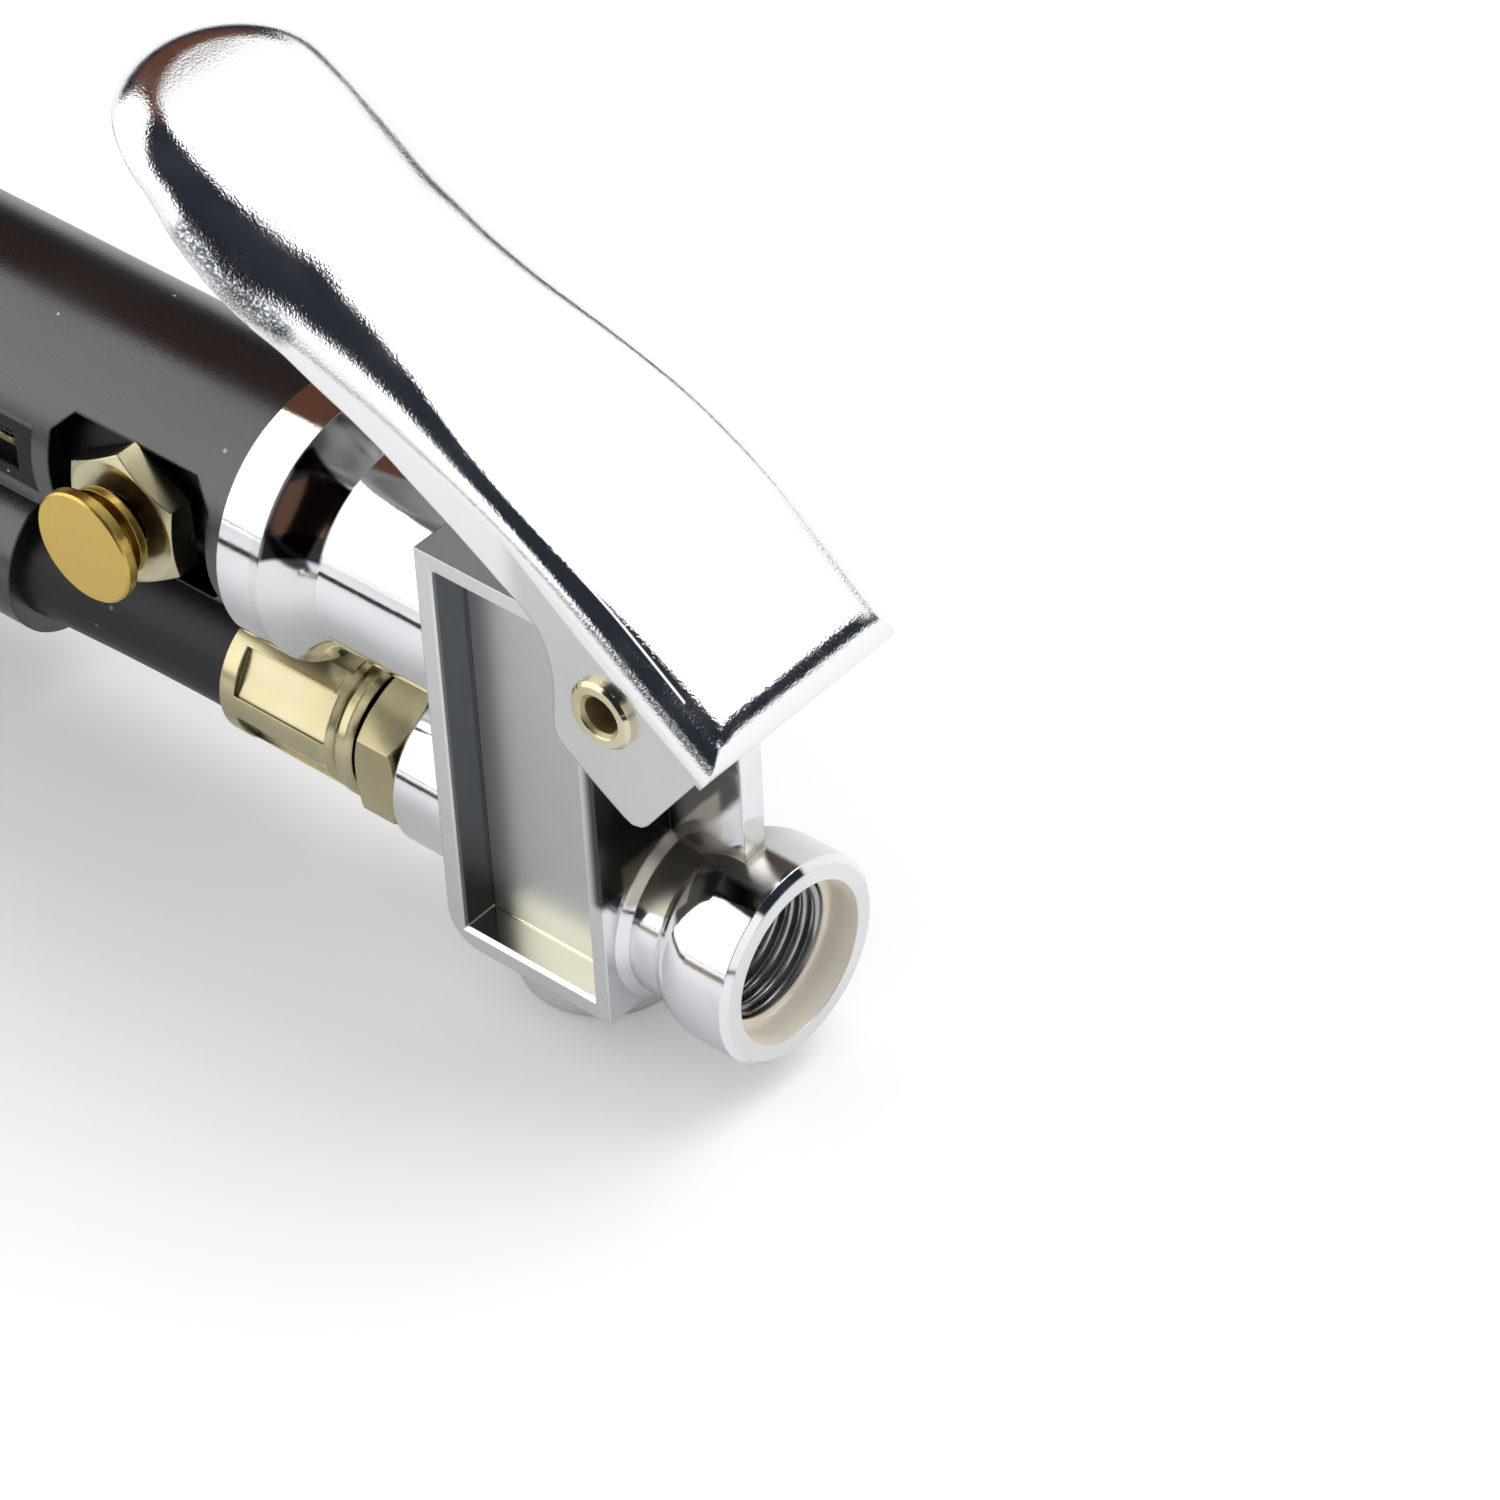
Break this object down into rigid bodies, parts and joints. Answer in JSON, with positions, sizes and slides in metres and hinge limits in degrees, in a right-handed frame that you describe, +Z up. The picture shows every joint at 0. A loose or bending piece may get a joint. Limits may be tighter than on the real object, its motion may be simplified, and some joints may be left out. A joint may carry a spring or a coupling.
{
  "type": "tyre inflator",
  "caption": "Hand-held tyre inflator: plated valve body with thumb lever, rubber-covered barrel gauge, bleeder button and a short hose with a dual-foot chuck.",
  "frame": {"origin": "centre of the air inlet's mouth, on the inlet's axis", "axes": "+X out of the inlet along its axis, +Y away from the operator's side, +Z up, square to the barrel's axis, towards the lever"},
  "size_m": [0.1948, 0.1733, 0.0764],
  "materials": {
    "casting": "bright plated casting",
    "lever_sheet": "bright plated pressing",
    "nickel": "bright nickel plate",
    "brass": "turned",
    "button_brass": "turned, slightly dull",
    "steel": "ground",
    "spring_steel": "drawn wire",
    "seal_rubber": "matte",
    "tube_metal": "drawn",
    "boot_rubber": "satin",
    "hose_rubber": "satin",
    "lens": "clear, polished",
    "scale_drum": "white with a printed scale",
    "cap_metal": "bright plated",
    "chuck_metal": "bright plated"
  },
  "bodies": {
    "body": {"head_casting": "casting", "lever_rivet": "nickel", "valve_seat": "brass", "valve_spring": "spring_steel", "valve_cap": "brass", "stem_gland": "nickel", "stem_oring": "seal_rubber", "gauge_tube": "tube_metal", "tube_oring": "seal_rubber", "rubber_boot": "boot_rubber", "window_lens": "lens", "gauge_spring": "spring_steel", "spring_adjuster": "brass", "end_cap": "cap_metal", "bleeder_nut": "nickel", "bleeder_spring": "spring_steel", "hose_fitting": "nickel", "hose_ferrule": "nickel", "hose": "hose_rubber", "chuck_ferrule": "nickel", "chuck_fitting": "nickel", "chuck_body": "chuck_metal", "chuck_seals": "seal_rubber", "chuck_pins": "brass"},
    "lever": {"lever": "lever_sheet"},
    "valve": {"valve_stem": "steel", "valve_poppet": "brass", "valve_seal": "seal_rubber"},
    "gauge": {"gauge_piston": "brass", "piston_seal": "seal_rubber", "gauge_drum": "scale_drum"},
    "bleeder": {"bleeder_button": "button_brass", "bleeder_seal": "seal_rubber"}
  },
  "joints": [
    {"name": "lever_hinge", "type": "hinge", "parent": "body", "child": "lever", "pos_m": [-0.00903, 0, 0.02998], "axis": [0, -1, 0], "range_deg": [0, 12], "stiffness_Nm_per_rad": 1, "springref_deg": -11.46},
    {"name": "valve_slide", "type": "slide", "parent": "body", "child": "valve", "axis": [0, 0, -1], "range_m": [0, 0.00363], "deforming": ["valve_spring"]},
    {"name": "gauge_slide", "type": "slide", "parent": "body", "child": "gauge", "axis": [-1, 0, 0], "range_m": [0, 0.03], "stiffness_N_per_m": 300, "springref_m": -0.004, "deforming": ["gauge_spring"]},
    {"name": "bleeder_slide", "type": "slide", "parent": "body", "child": "bleeder", "axis": [0, 1, 0], "range_m": [0, 0.0011], "stiffness_N_per_m": 1500, "springref_m": -0.0015, "deforming": ["bleeder_spring"]}
  ],
  "couplings": [
    {"joint": "valve_slide", "follows": "lever_hinge", "m_per_rad": 0.0173}
  ]
}
